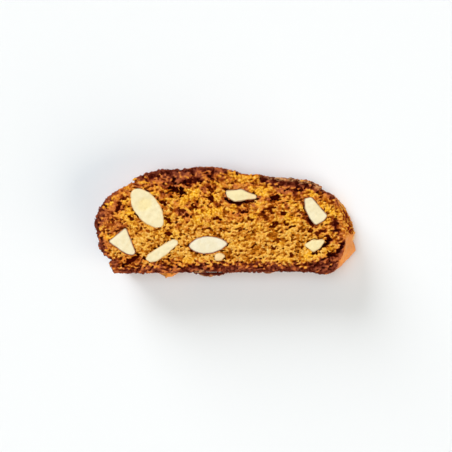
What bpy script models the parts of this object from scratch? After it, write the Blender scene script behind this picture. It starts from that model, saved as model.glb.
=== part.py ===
"""A slice of almond biscotti, lying on one of its two cut faces.

A long loaf of dough is baked, cut across on a slant, and each slice is dried in the oven
again. The slice keeps the loaf's cross-section: a flat base, round ends and a domed top
whose crust has split. The knife went through the almonds too, so each one shows a flat
section that lies level with the cut face and has the rest of its body sunk in the crumb.

X runs along the slice, Y from the loaf's base to its domed top, and Z from the cut face
that the slice lies on to the one that shows. Places are in millimetres, from the slice's
left end and from the loaf's base line. A finished mesh is scaled to metres.
"""

import math

import bmesh
import bpy
from mathutils import Matrix, Vector, noise
from mathutils.geometry import interpolate_bezier

MM = 0.001

# ---- the slice ----
THICKNESS = 16.0  # between the two cut faces
CUT_SLANT = 5.0  # how far the whole section moves along X from the upper cut face to the lower
WALL_BANDS = 6  # bands of faces from one cut face to the other
FACES_TRAY = -0.9  # an outward normal's Y below this is on the base, where the flakes are
OUTLINE_STEP = 1.9  # longest edge along the outline
LUMP_SIZE = 7.0  # lumps of the baked skin, from one to the next
LUMP_HEIGHT = 0.35

# ---- the almonds ----
POCKET_GAP = 0.45  # a pocket is this much wider than its almond, measured at a corner
ALMOND_AROUND = 20  # faces round a whole almond
ALMOND_ALONG = 12  # faces from tip to tip
BLUNTER_TIP = 0.10  # how much fuller an almond is towards one of its tips
SHARP_EDGE = math.radians(40)  # an almond's edges above this stay sharp when shaded smooth
CHIP_ROUNDING = 0.5  # worn edges of a chopped piece
CHIP_TAPER = 0.72  # a chopped piece's lower end, as a share of its upper end
OVERSHOOT = 1.5  # a chopped piece reaches this far past the cut before it is sliced

ROUND, CORNER = "AUTO", "VECTOR"

# The section at the upper cut face, clockwise from the base's left corner. Each point has its
# place, whether it is rounded, and how far it moves along X on its way to the lower cut face.
OUTLINE = (
    # the chipped lower left, in two small steps
    (7.7, -0.2, CORNER, CUT_SLANT),
    (6.6, 2.2, ROUND, CUT_SLANT),
    (6.0, 4.4, ROUND, CUT_SLANT),
    (6.4, 5.2, CORNER, CUT_SLANT),
    (2.6, 8.8, ROUND, CUT_SLANT),
    (1.6, 11.6, ROUND, CUT_SLANT),
    (2.0, 13.0, CORNER, CUT_SLANT),
    # the round left end, up to the foot of the top crust
    (0.0, 20.5, ROUND, CUT_SLANT),
    (4.0, 30.3, ROUND, CUT_SLANT),
    (16.1, 38.1, CORNER, CUT_SLANT),
    # the left plate of the top crust, from its lip to the split
    (16.5, 39.4, CORNER, CUT_SLANT),
    (24.2, 42.5, ROUND, CUT_SLANT),
    (36.0, 43.3, ROUND, CUT_SLANT),
    (49.0, 44.2, ROUND, 3.5),
    (59.2, 42.2, CORNER, 2.5),
    # the split, where the crumb has come through
    (59.7, 41.0, CORNER, 2.5),
    (62.0, 41.5, ROUND, 2.5),
    (64.5, 40.8, ROUND, 2.5),
    (67.5, 41.1, ROUND, 2.5),
    (71.6, 40.3, ROUND, 2.5),
    # the right plate, down to its lip
    (86.0, 39.0, ROUND, 2.0),
    (91.5, 38.0, ROUND, 1.5),
    (95.4, 35.9, CORNER, 1.2),
    (94.9, 35.1, CORNER, 1.2),
    # the right end, where the slanted cut bares the baked skin
    (101.0, 31.0, ROUND, 2.6),
    (104.0, 23.0, ROUND, 5.2),
    (105.1, 16.5, ROUND, 6.2),
    (105.2, 13.0, ROUND, 5.3),
    (104.5, 9.0, ROUND, 7.2),
    (102.7, 4.5, ROUND, 4.6),
    (100.0, 0.6, ROUND, 3.0),
    # the heel, and the base that lay on the baking tray
    (96.5, -0.6, ROUND, 2.5),
    (91.5, 0.2, ROUND, 3.5),
    (55.0, 0.2, ROUND, CUT_SLANT),
    (20.0, 0.0, ROUND, CUT_SLANT),
)

# Flakes of base crust that stick out below the base line: the place of the middle along X, the
# height above the lower cut face, half the length, half the width and how far each reaches.
FLAKES = (
    (30.8, 7.0, 3.2, 3.0, 2.6),
    (49.3, 6.0, 5.9, 2.6, 2.4),
    (73.4, 9.0, 2.0, 2.0, 1.1),
)

# Almonds that the knife went through along their length: place, turn in degrees, length, width,
# depth below the cut, and how pointed the two tips are, where 0.5 is as round as an egg.
HALVES = {
    "almond_half_left": ((22.4, 26.9), -53.0, 19.4, 9.9, 4.2, 0.62),
    "almond_half_middle": ((47.9, 11.6), 4.0, 15.9, 7.0, 5.6, 0.70),
}
HALVES_UNDER = {
    "almond_under_left": ((27.0, 14.5), 24.0, 17.5, 8.6, 4.8, 0.62),
    "almond_under_middle": ((66.0, 27.0), -38.0, 16.2, 7.4, 5.4, 0.68),
    "almond_under_right": ((97.0, 14.0), 66.0, 15.0, 9.0, 4.6, 0.60),
}

# Chopped almonds: the corners of the section at the cut face, and the depth below it.
CHIPS = {
    "almond_wedge_left": (((13.2, 19.0), (17.4, 8.4), (16.6, 7.4), (13.8, 7.6), (5.9, 13.2)), 5.0),
    "almond_sliver": (
        ((35.4, 13.6), (35.6, 12.4), (31.0, 8.2), (26.0, 4.6), (23.2, 4.2), (21.4, 5.4), (22.4, 7.2),
         (29.5, 11.8), (33.6, 14.0)),
        4.5,
    ),
    "almond_skinned_top": (
        ((55.2, 34.1), (62.0, 34.8), (64.8, 33.4), (68.4, 32.2), (68.2, 31.2), (63.2, 30.7), (58.9, 30.0),
         (55.6, 32.0)),
        5.0,
    ),
    "almond_wedge_right": (
        ((88.5, 31.2), (91.2, 31.7), (98.1, 23.6), (96.6, 21.8), (93.2, 20.0), (90.6, 22.8), (88.8, 27.0)),
        5.5,
    ),
    "almond_chip_right": (((88.4, 11.4), (91.6, 13.4), (97.0, 13.5), (94.6, 10.2), (92.0, 8.9)), 3.4),
    "almond_nib_middle": (((51.0, 7.7), (53.2, 8.0), (55.0, 6.8), (53.0, 5.2), (51.0, 5.2)), 2.2),
}
CHIPS_UNDER = {
    "almond_under_wedge": (((49.5, 9.5), (54.0, 3.8), (45.5, 4.6)), 4.2),
    "almond_under_chip": (((37.0, 35.6), (47.6, 34.2), (46.4, 31.0), (39.4, 31.2)), 3.8),
}

# A nib of almond that the slanted right end bares: its middle and its three half sizes.
NIB_PLACE = Vector((109.4, 14.9, 4.0))
NIB_SIZE = Vector((1.5, 1.8, 1.9))

COLOURS = {"crumb": (0.58, 0.27, 0.05), "almond": (0.88, 0.79, 0.58)}
ROUGHNESS = {"crumb": 0.85, "almond": 0.55}


def clear_scene():
    for obj in list(bpy.data.objects):
        bpy.data.objects.remove(obj, do_unlink=True)


def collection(name):
    made = bpy.data.collections.new(name)
    bpy.context.scene.collection.children.link(made)
    return made


def material(name):
    made = bpy.data.materials.new(name)
    made.use_nodes = True
    shader = made.node_tree.nodes["Principled BSDF"]
    shader.inputs["Base Color"].default_value = (*COLOURS[name], 1.0)
    shader.inputs["Roughness"].default_value = ROUGHNESS[name]
    shader.inputs["Metallic"].default_value = 0.0
    return made


def object_from(bm, name, into, finish=None):
    """Turns a bmesh in millimetres into a named object in metres."""
    bmesh.ops.recalc_face_normals(bm, faces=bm.faces)
    bmesh.ops.scale(bm, vec=(MM, MM, MM), verts=bm.verts)
    mesh = bpy.data.meshes.new(name)
    bm.to_mesh(mesh)
    bm.free()
    obj = bpy.data.objects.new(name, mesh)
    into.objects.link(obj)
    if finish:
        mesh.materials.append(finish)
    return obj


# ---- the biscuit ----


def section_ring():
    """The outline as evenly spaced points, each with its own move along X in the third place."""
    curve = bpy.data.curves.new("section", "CURVE")
    spline = curve.splines.new("BEZIER")
    spline.use_cyclic_u = True
    spline.bezier_points.add(len(OUTLINE) - 1)
    for point, (x, y, kind, _) in zip(spline.bezier_points, OUTLINE):
        point.co = (x, y, 0.0)
        point.handle_left_type = point.handle_right_type = kind
    guide = bpy.data.objects.new("section", curve)
    bpy.context.scene.collection.objects.link(guide)
    bpy.context.view_layer.update()
    ring = []
    points = spline.bezier_points
    for i, a in enumerate(points):
        j = (i + 1) % len(points)
        b = points[j]
        parts = max(1, round((b.co - a.co).length / OUTLINE_STEP))
        samples = interpolate_bezier(a.co, a.handle_right, b.handle_left, b.co, parts + 1)
        for k, sample in enumerate(samples[:-1]):
            move = OUTLINE[i][3] + (OUTLINE[j][3] - OUTLINE[i][3]) * k / parts
            ring.append(Vector((sample.x, sample.y, move)))
    bpy.data.objects.remove(guide)
    bpy.data.curves.remove(curve)
    return ring


def flake_reach(x, z):
    """How far the base crust sticks out at a place on the base."""
    reach = 0.0
    for middle, height, half_length, half_width, most in FLAKES:
        away = ((x - middle) / half_length) ** 4 + ((z - height) / half_width) ** 2
        reach = max(reach, most * math.exp(-away))
    return reach


def wall_point(sample, outward, share):
    """A point of the baked skin, where share runs from 0 at the upper cut face to 1 at the lower."""
    z = THICKNESS * (1.0 - share)
    x = sample.x + sample.z * math.sin(share * math.pi / 2)
    y = sample.y
    lump = noise.noise(Vector((sample.x, sample.y, z)) / LUMP_SIZE)
    x += outward.x * lump * LUMP_HEIGHT * share
    y += outward.y * lump * LUMP_HEIGHT * share
    if outward.y < FACES_TRAY:
        y -= flake_reach(x, z)
    return Vector((x, y, z))


def outward_normals(ring):
    normals = []
    for i, sample in enumerate(ring):
        along = ring[(i + 1) % len(ring)] - ring[i - 1]
        normals.append(Vector((-along.y, along.x)).normalized())
    return normals


def biscuit_mesh():
    """A loft from the upper section to the lower one, closed by the two cut faces."""
    ring = section_ring()
    normals = outward_normals(ring)
    bm = bmesh.new()
    levels = []
    for band in range(WALL_BANDS + 1):
        share = band / WALL_BANDS
        levels.append([bm.verts.new(wall_point(s, n, share)) for s, n in zip(ring, normals)])
    for upper, lower in zip(levels, levels[1:]):
        for i in range(len(ring)):
            j = (i + 1) % len(ring)
            bm.faces.new((upper[i], upper[j], lower[j], lower[i]))
    caps = [bm.faces.new(levels[0]), bm.faces.new(levels[-1])]
    bmesh.ops.triangulate(bm, faces=caps)
    return bm


# ---- the almonds ----


def whole_almond(place, turn, length, width, depth, point, height):
    """An almond lying with its middle plane in the cut at this height."""
    bm = bmesh.new()
    bmesh.ops.create_uvsphere(bm, u_segments=ALMOND_AROUND, v_segments=ALMOND_ALONG, radius=1.0)
    bmesh.ops.rotate(bm, verts=bm.verts, matrix=Matrix.Rotation(math.pi / 2, 3, "Y"))
    for vert in bm.verts:
        along = vert.co.x
        fullness = max(1.0 - along**2, 0.0) ** (point - 0.5) * (1.0 - BLUNTER_TIP * along)
        half_width = vert.co.y * fullness * width / 2
        vert.co = Vector((along * length / 2, half_width, vert.co.z * fullness * depth))
    bmesh.ops.rotate(bm, verts=bm.verts, matrix=Matrix.Rotation(math.radians(turn), 3, "Z"))
    bmesh.ops.translate(bm, verts=bm.verts, vec=(*place, height))
    return bm


def chopped_almond(corners, depth, height, down):
    """A flat-sided chip: its section at the cut, drawn together on its way into the crumb."""
    bm = bmesh.new()
    middle = sum((Vector(c) for c in corners), Vector((0.0, 0.0))) / len(corners)
    face = bm.faces.new([bm.verts.new((x, y, height - down * OVERSHOOT)) for x, y in corners])
    made = bmesh.ops.extrude_face_region(bm, geom=[face])["geom"]
    for vert in (v for v in made if isinstance(v, bmesh.types.BMVert)):
        drawn_in = middle + (vert.co.xy - middle) * CHIP_TAPER
        vert.co = Vector((drawn_in.x, drawn_in.y, height + down * depth))
    bmesh.ops.recalc_face_normals(bm, faces=bm.faces)
    bmesh.ops.bevel(
        bm, geom=bm.edges, offset=CHIP_ROUNDING, segments=2, profile=0.5, affect="EDGES", clamp_overlap=True
    )
    return bm


def baked_nib():
    bm = bmesh.new()
    bmesh.ops.create_icosphere(bm, subdivisions=2, radius=1.0)
    bmesh.ops.scale(bm, vec=NIB_SIZE, verts=bm.verts)
    bmesh.ops.translate(bm, verts=bm.verts, vec=NIB_PLACE)
    return bm


def slice_off(bm, height, up):
    """Cuts an almond level with a cut face and closes the section."""
    cut = bmesh.ops.bisect_plane(
        bm,
        geom=bm.verts[:] + bm.edges[:] + bm.faces[:],
        plane_co=(0.0, 0.0, height),
        plane_no=(0.0, 0.0, up),
        clear_outer=True,
    )
    rim = [e for e in cut["geom_cut"] if isinstance(e, bmesh.types.BMEdge)]
    bmesh.ops.contextual_create(bm, geom=rim)


def add_almond(name, bm, parts, cutters, finish, height=None, up=1):
    """Adds one almond, and the cutter for its pocket. With no height it isn't sliced."""
    cutter = object_from(bm.copy(), name + "_pocket", cutters)
    cutter.hide_render = True
    cutter.display_type = "WIRE"
    gap = cutter.modifiers.new("gap", "DISPLACE")
    gap.strength = POCKET_GAP * MM
    gap.mid_level = 0.0
    if height is not None:
        slice_off(bm, height, up)
    almond = object_from(bm, name, parts, finish)
    almond.data.shade_smooth()
    almond.data.set_sharp_from_angle(angle=SHARP_EDGE)
    return almond


def almonds(parts, cutters, finish):
    made = []
    for faces, height, up in ((HALVES, THICKNESS, 1), (HALVES_UNDER, 0.0, -1)):
        for name, spec in faces.items():
            made.append(add_almond(name, whole_almond(*spec, height), parts, cutters, finish, height, up))
    for faces, height, up in ((CHIPS, THICKNESS, 1), (CHIPS_UNDER, 0.0, -1)):
        for name, (corners, depth) in faces.items():
            bm = chopped_almond(corners, depth, height, -up)
            made.append(add_almond(name, bm, parts, cutters, finish, height, up))
    made.append(add_almond("almond_nib_rim", baked_nib(), parts, cutters, finish))
    return made


def box_middle(obj):
    """The middle of an object's box along X and Y."""
    corners = [obj.matrix_world @ Vector(c) for c in obj.bound_box]
    low = Vector(map(min, zip(*corners)))
    high = Vector(map(max, zip(*corners)))
    return (low + high) / 2


def main():
    clear_scene()
    parts = collection("biscotti")
    cutters = collection("pockets")
    biscuit = object_from(biscuit_mesh(), "biscuit", parts, material("crumb"))
    nuts = almonds(parts, cutters, material("almond"))
    pockets = biscuit.modifiers.new("almond pockets", "BOOLEAN")
    pockets.operation = "DIFFERENCE"
    pockets.operand_type = "COLLECTION"
    pockets.collection = cutters
    pockets.solver = "EXACT"

    # The origin is below the middle of the slice's box, on the surface that it lies on.
    bpy.context.view_layer.update()
    middle = box_middle(biscuit)
    slice_centre = bpy.data.objects.new("slice_centre", None)
    parts.objects.link(slice_centre)
    slice_centre.location = (-middle.x, -middle.y, 0.0)
    for obj in [biscuit, *nuts, *cutters.objects]:
        obj.parent = slice_centre


main()
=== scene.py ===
# %% [markdown]
# # A slice of almond biscotti
# Biscotti are baked twice: first as a long loaf, then again as slices. This lesson dresses the
# plain solid of one slice with its torn crumb, its browned crust and the almonds that the knife
# went through. The solid model is a fixed frame: it gives every place and size, and nothing
# here moves it.

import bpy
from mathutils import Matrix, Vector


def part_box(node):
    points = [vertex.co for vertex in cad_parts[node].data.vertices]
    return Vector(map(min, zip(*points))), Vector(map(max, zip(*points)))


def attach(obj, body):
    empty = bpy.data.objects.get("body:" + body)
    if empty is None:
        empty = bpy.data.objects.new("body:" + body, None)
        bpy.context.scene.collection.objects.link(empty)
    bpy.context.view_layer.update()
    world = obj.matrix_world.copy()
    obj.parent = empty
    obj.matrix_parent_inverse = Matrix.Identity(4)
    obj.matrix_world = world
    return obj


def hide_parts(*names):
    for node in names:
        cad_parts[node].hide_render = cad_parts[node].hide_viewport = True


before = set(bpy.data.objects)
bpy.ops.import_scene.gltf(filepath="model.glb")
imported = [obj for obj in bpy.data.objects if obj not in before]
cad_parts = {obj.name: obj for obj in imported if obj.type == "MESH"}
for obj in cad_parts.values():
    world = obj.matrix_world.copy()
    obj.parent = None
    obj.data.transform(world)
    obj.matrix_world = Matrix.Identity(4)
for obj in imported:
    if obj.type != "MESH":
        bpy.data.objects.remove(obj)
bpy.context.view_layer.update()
print("solids:", ", ".join(sorted(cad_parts)))

# %% [markdown]
# ## Working in millimetres
# Crumb is a matter of millimetres, so the shapes are worked out in millimetres and a finished
# mesh is scaled to metres. Places along the slice are counted from its left end, and places
# across it from the loaf's base line, which is how a baker would measure a slice.

# %% Units and the slice's own measures
import math

import bpy
import numpy as np
import openvdb as vdb
from mathutils import Vector
from mathutils.bvhtree import BVHTree

MM = 0.001
BASE_LINE = -21.05  # the flat base of the loaf, in the frame's Y

low_corner, high_corner = (np.array(corner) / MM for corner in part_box("biscuit"))
LEFT_END = low_corner[0]
THICKNESS = high_corner[2]


def place(x, y):
    """A spot given from the slice's left end and from the base line, in the frame's millimetres."""
    return np.array((LEFT_END + x, BASE_LINE + y))


print("slice, mm:", np.round(high_corner - low_corner, 1))

# %% [markdown]
# ## The camera
# The slice lies flat and is seen from straight above, so the camera looks down on the middle of
# the cut face. A long lens from far away keeps the walls from spreading. The camera is made
# first, because it tells which faces need the finest work.

# %% Camera straight above the cut face
CAMERA_HEIGHT = 448.4  # above the upper cut face
CAMERA_OFFSET = (-0.42, -1.51)  # from the middle of the slice
LENS_LENGTH, SENSOR_WIDTH = 85, 36

camera_data = bpy.data.cameras.new("camera")
camera_data.lens = LENS_LENGTH
camera_data.sensor_width = SENSOR_WIDTH
camera = bpy.data.objects.new("camera", camera_data)
camera.location = Vector((*CAMERA_OFFSET, THICKNESS + CAMERA_HEIGHT)) * MM
bpy.context.scene.collection.objects.link(camera)
bpy.context.scene.camera = camera
print("camera height, m:", round(camera.location.z, 3))

# %% [markdown]
# ## The floor and the light
# A pale table under soft studio light. A wide cool window low at the upper left rakes across the
# crumb and throws the long soft shadow. A still wider, warmer one at the lower right lightens
# that shadow and shows the slanted right end. Soft light from above and a dim warm world fill the
# rest. Lamps of the sun kind light the whole floor evenly, and their angle sets how soft they are.

# %% Floor
FLOOR_WIDTH = 4.0
TABLE_WHITE = (0.88, 0.885, 0.885)


def surface_shader(name, colour, roughness):
    """A new material and its main shader, with the colour as a start."""
    made = bpy.data.materials.new(name)
    made.use_nodes = True
    shader = made.node_tree.nodes["Principled BSDF"]
    shader.inputs["Base Color"].default_value = (*colour, 1.0)
    shader.inputs["Roughness"].default_value = roughness
    return made, shader


bpy.ops.mesh.primitive_plane_add(size=FLOOR_WIDTH)
floor = bpy.context.object
floor.name = "table_top"
table_white, _ = surface_shader("table_white", TABLE_WHITE, 0.8)
floor.data.materials.append(table_white)
print("floor, m:", FLOOR_WIDTH)

# %% World and windows
WORLD_COLOUR = (1.0, 0.81, 0.57, 1.0)
WORLD_STRENGTH = 0.31


def soft_window(name, turn, height, width, strength, colour):
    """Even light from one direction: turn and height in degrees, and how wide the window looks."""
    data = bpy.data.lights.new(name, "SUN")
    data.angle = math.radians(width)
    data.energy = strength
    data.color = colour
    lamp = bpy.data.objects.new(name, data)
    turn, height = math.radians(turn), math.radians(height)
    towards = (math.cos(turn) * math.cos(height), math.sin(turn) * math.cos(height), math.sin(height))
    lamp.rotation_euler = Vector(towards).to_track_quat("Z", "Y").to_euler()
    bpy.context.scene.collection.objects.link(lamp)


world = bpy.data.worlds.new("studio")
bpy.context.scene.world = world
world.use_nodes = True
background = world.node_tree.nodes["Background"]
background.inputs["Color"].default_value = WORLD_COLOUR
background.inputs["Strength"].default_value = WORLD_STRENGTH
soft_window("cool_window", turn=126, height=20, width=35, strength=3.10, colour=(0.923, 0.948, 1.0))
soft_window("warm_window", turn=323, height=17, width=60, strength=2.60, colour=(1.0, 0.846, 0.713))
soft_window("overhead", turn=175, height=76, width=40, strength=1.37, colour=(0.54, 0.79, 1.0))

bpy.context.scene.view_settings.view_transform = "Standard"

# %% [markdown]
# ## A block of cells to shape the crumb in
# Crumb is a sponge: holes of every size with thin walls between them. Moving the points of a
# surface up and down can't make a hole that widens below its mouth. So the slice is shaped as a
# field: a block of small cells, where each cell knows how far it is outside (+) or inside (-) the
# dough. Holes are cut by adding to the field, and the surface is drawn where it passes zero.

# %% The block of cells
CELL = 0.27  # side of a cell
MARGIN = 1.5  # empty room round the slice
COUNT_STEP = 8  # filters run fastest on counts of cells in steps of this


def block_round(low, high, cell, margin):
    """The low corner of a block of cells round a box, and its count of cells each way."""
    count = np.ceil((high - low + 2 * margin) / cell / COUNT_STEP).astype(int) * COUNT_STEP
    return low - margin, count


block_low, block_count = block_round(low_corner, high_corner, CELL, MARGIN)
along_x, along_y, along_z = (
    (block_low[i] + CELL * np.arange(block_count[i])).astype(np.float32) for i in range(3)
)
X, Y, Z = along_x[:, None, None], along_y[None, :, None], along_z[None, None, :]
print("cells:", block_count, f"= {np.prod(block_count) / 1e6:.1f} million")

# %% Turning a solid into a field
DEEPEST = 5.0  # how far from a surface the field still counts


def corners_and_faces(mesh):
    """A mesh's corners in millimetres and its triangles, as arrays."""
    mesh.calc_loop_triangles()
    corners = np.empty(len(mesh.vertices) * 3, np.float32)
    mesh.vertices.foreach_get("co", corners)
    faces = np.empty(len(mesh.loop_triangles) * 3, np.int32)
    mesh.loop_triangles.foreach_get("vertices", faces)
    return corners.reshape(-1, 3) / MM, faces.reshape(-1, 3)


def distance_field(name, low, count, cell):
    """Distance to a solid's surface, in millimetres, below zero inside it."""
    corners, faces = corners_and_faces(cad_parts[name].data)
    grid = vdb.FloatGrid.createLevelSetFromPolygons(
        (corners - low).astype(np.float32),
        triangles=faces.astype(np.uint32),
        transform=vdb.createLinearTransform(cell),
        halfWidth=DEEPEST / cell,
    )
    field = np.empty(tuple(count), np.float32)
    grid.copyToArray(field)
    return field


def volume(field):
    """Cubic centimetres inside a field's surface, in words."""
    return f"{(field < 0).sum() * CELL**3 / 1000:.1f} cm3"


dough = distance_field("biscuit", block_low, block_count, CELL)
print("dough:", volume(dough))


# %% Reading a field between its cells
def sample(values, points, low=block_low, cell=CELL):
    """The value at each point, blended from the cells round it."""
    at = (points[:, : values.ndim] - low[: values.ndim]) / cell
    at = np.clip(at, 0, np.array(values.shape) - 1.001)
    base = at.astype(int)
    part = at - base
    total = 0.0
    for corner in np.ndindex(*[2] * values.ndim):
        weight = np.prod(np.where(corner, part, 1 - part), axis=1)
        total = total + weight * values[tuple((base + corner).T)]
    return total


def ramp(value, start, end):
    """0 up to start, 1 from end on, and smooth between."""
    t = np.clip((value - start) / (end - start), 0.0, 1.0)
    return t * t * (3 - 2 * t)


print(f"a quarter of the way up a ramp: {ramp(0.25, 0, 1):.2f}")

# %% [markdown]
# ## Closing the crumb round the almonds
# The solid has a pocket for each almond, a little wider than the almond. Real dough is baked
# onto the nut, so the pockets are closed here: what is near an almond counts as dough, and then
# the almond's own inside is taken out. For that, and for the browning later, each cell must also
# know how far it is from the baked skin, so that the filling doesn't bulge out of the crust.

# %% Distance to the almonds
NUT_NAMES = sorted(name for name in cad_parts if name.startswith("almond"))
SKINNED_NUTS = ("almond_half_middle", "almond_skinned_top", "almond_wedge_right", "almond_wedge_left")

# An almond fills its pocket this much further than the plain solid.
FULLER = dict.fromkeys(NUT_NAMES, 0.24) | {
    "almond_half_left": 0.4, "almond_wedge_left": 0.4, "almond_sliver": 0.45, "almond_skinned_top": 0.55,
    "almond_wedge_right": 0.5, "almond_chip_right": 0.6, "almond_nib_middle": 0.6,
}

nut_fields = {name: distance_field(name, block_low, block_count, CELL) for name in NUT_NAMES}
nut_field = np.minimum.reduce(list(nut_fields.values()))
full_nut_field = np.minimum.reduce([nut_fields[name] - FULLER[name] for name in NUT_NAMES])
skinned_field = np.minimum.reduce([nut_fields[name] - FULLER[name] for name in SKINNED_NUTS])
print(len(NUT_NAMES), "almonds:", volume(nut_field))

# %% Distance to the baked skin
COARSE = 1.2  # between two measured places
SKIN_LEAN = 0.9  # a face is wall while the upward share of its normal is below this
OFF_POCKETS = 0.6  # and it is baked skin at least this far from an almond


def wall_tree(name, lean, clearance=None):
    """The steep faces of a solid, made ready for finding the nearest of them."""
    corners, faces = corners_and_faces(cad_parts[name].data)
    a, b, c = (corners[faces[:, i]] for i in range(3))
    normals = np.cross(b - a, c - a)
    chosen = np.abs(normals[:, 2]) < lean * np.linalg.norm(normals, axis=1)
    if clearance is not None:
        chosen = chosen & (sample(nut_field, (a + b + c) / 3) > clearance)
    return BVHTree.FromPolygons([Vector(v) for v in corners], [tuple(map(int, f)) for f in faces[chosen]])


def depth_under(tree, point):
    """How far a point lies inside the wall, below zero outside it."""
    nearest, normal, _, distance = tree.find_nearest(point)
    return distance if (nearest - point).dot(normal) > 0 else -distance


def measured_skin_depth():
    """Depth under the baked skin on a coarse block, filled in to every cell."""
    tree = wall_tree("biscuit", SKIN_LEAN, OFF_POCKETS)
    axes = [np.linspace(a[0], a[-1], int((a[-1] - a[0]) / COARSE) + 2) for a in (along_x, along_y, along_z)]
    values = np.empty([len(a) for a in axes], np.float32)
    for cell in np.ndindex(values.shape):
        values[cell] = depth_under(tree, Vector([a[i] for a, i in zip(axes, cell)]))
    for axis in range(3):
        at = np.linspace(0, values.shape[axis] - 1, block_count[axis])
        base = np.minimum(at.astype(int), values.shape[axis] - 2)
        part = (at - base).astype(np.float32).reshape([-1 if i == axis else 1 for i in range(3)])
        values = np.take(values, base, axis) * (1 - part) + np.take(values, base + 1, axis) * part
    return values


skin_depth = measured_skin_depth()
print(f"deepest under the skin: {skin_depth.max():.1f} mm")

# %% Close the pockets
POCKET_CLOSING = 0.7  # what is nearer to an almond than this is filled
SKIN_COVER = 0.2  # the filling stays this far under the skin

filling = np.maximum(nut_field - POCKET_CLOSING, SKIN_COVER - skin_depth)
filling = np.maximum(filling, np.maximum(Z - THICKNESS, -Z))
dough = np.minimum(dough, filling)
print("dough with the pockets closed:", volume(dough))

# %% [markdown]
# ## Random lumps of one size
# Dough has roughness of several sizes, and each has its own look. A ready-made noise mixes them,
# so all roughness here comes from a recipe that keeps them apart: plain random numbers pass through
# a filter that keeps only the waves of one length, which leaves smooth lumps of one size. They can
# be stretched and tilted, as the dough was pulled along the slice while it rose.

# %% The recipe for lumps
BAND = 0.36  # how far the lumps may stray from their size
SPONGE_BAND = 0.45  # the sponge has holes of more sizes


def frequencies(count, cell):
    """Waves to the millimetre along each side of a block, for the filters."""
    fx = np.fft.fftfreq(count[0], cell)[:, None, None]
    fy = np.fft.fftfreq(count[1], cell)[None, :, None]
    return fx, fy, np.fft.rfftfreq(count[2], cell)[None, None, :]


def lumps(seed, size, stretch=1.0, tilt=0.0, band=BAND, count=block_count, cell=CELL):
    """Random lumps of about this size in millimetres: mean 0 and spread 1."""
    chance = np.random.default_rng(seed).standard_normal(tuple(count), dtype=np.float32)
    waves = np.fft.rfftn(chance)
    fx, fy, fz = frequencies(count, cell)
    c, s = math.cos(math.radians(tilt)), math.sin(math.radians(tilt))
    pitch = np.sqrt(((fx * c + fy * s) * stretch) ** 2 + (fy * c - fx * s) ** 2 + fz**2) * size
    waves *= np.exp(-0.5 * (np.log(np.maximum(pitch, 1e-3)) / band) ** 2)
    field = np.fft.irfftn(waves, tuple(count))
    return (field / field.std()).astype(np.float32)


def from_left(x):
    """Millimetres from the slice's left end, for frame coordinates."""
    return x - LEFT_END


SLANT_FROM, SLANT_TO = 50.0, 70.0  # from the left end: between these the pores begin to slant
SLANT = 12.0  # degrees

right_share = ramp(from_left(X), SLANT_FROM, SLANT_TO)
sponge = lumps(11, 1.9, stretch=1.35, band=SPONGE_BAND) * np.sqrt(1 - right_share)
sponge = sponge + lumps(21, 1.8, 1.7, SLANT, SPONGE_BAND) * np.sqrt(right_share)
coarse = lumps(15, 3.6, 1.3)
patches = lumps(17, 6.0, 1.6)
grain = lumps(12, 0.9)
swell = lumps(13, 9.0)
mottle = lumps(18, 2.8, 1.3)
print(f"lumps ready, highest sponge value: {sponge.max():.2f}")

# %% [markdown]
# ## Marks drawn with strokes
# Besides the even sponge, a slice has its own marks: bubbles that burst, cracks, and places that
# are browner or yellower. A painted picture could hold them, but strokes stay sharp and easy to
# move. Each is drawn on the cut face: start, end, half width and strength. The lumps make the
# strokes' edges ragged, so that none looks drawn.

# %% Strokes on the cut face
TOP_LAYER = int(np.argmin(np.abs(along_z - THICKNESS)))


def strokes(marks, wobble, soft=(0.45, 1.25)):
    """The strongest stroke at each place of the cut face."""
    drawn = np.zeros((block_count[0], block_count[1]), np.float32)
    px, py = along_x[:, None], along_y[None, :]
    for x1, y1, x2, y2, half_width, strength in marks:
        start, end = place(x1, y1), place(x2, y2)
        along = end - start
        share = ((px - start[0]) * along[0] + (py - start[1]) * along[1]) / max(along @ along, 1e-6)
        share = np.clip(share, 0, 1)
        away = np.hypot(px - start[0] - share * along[0], py - start[1] - share * along[1])
        away = away / half_width + wobble
        drawn = np.maximum(drawn, strength * (1 - ramp(away, *soft)))
    return drawn


print("the upper cut face is layer", TOP_LAYER, "of the block")

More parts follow.
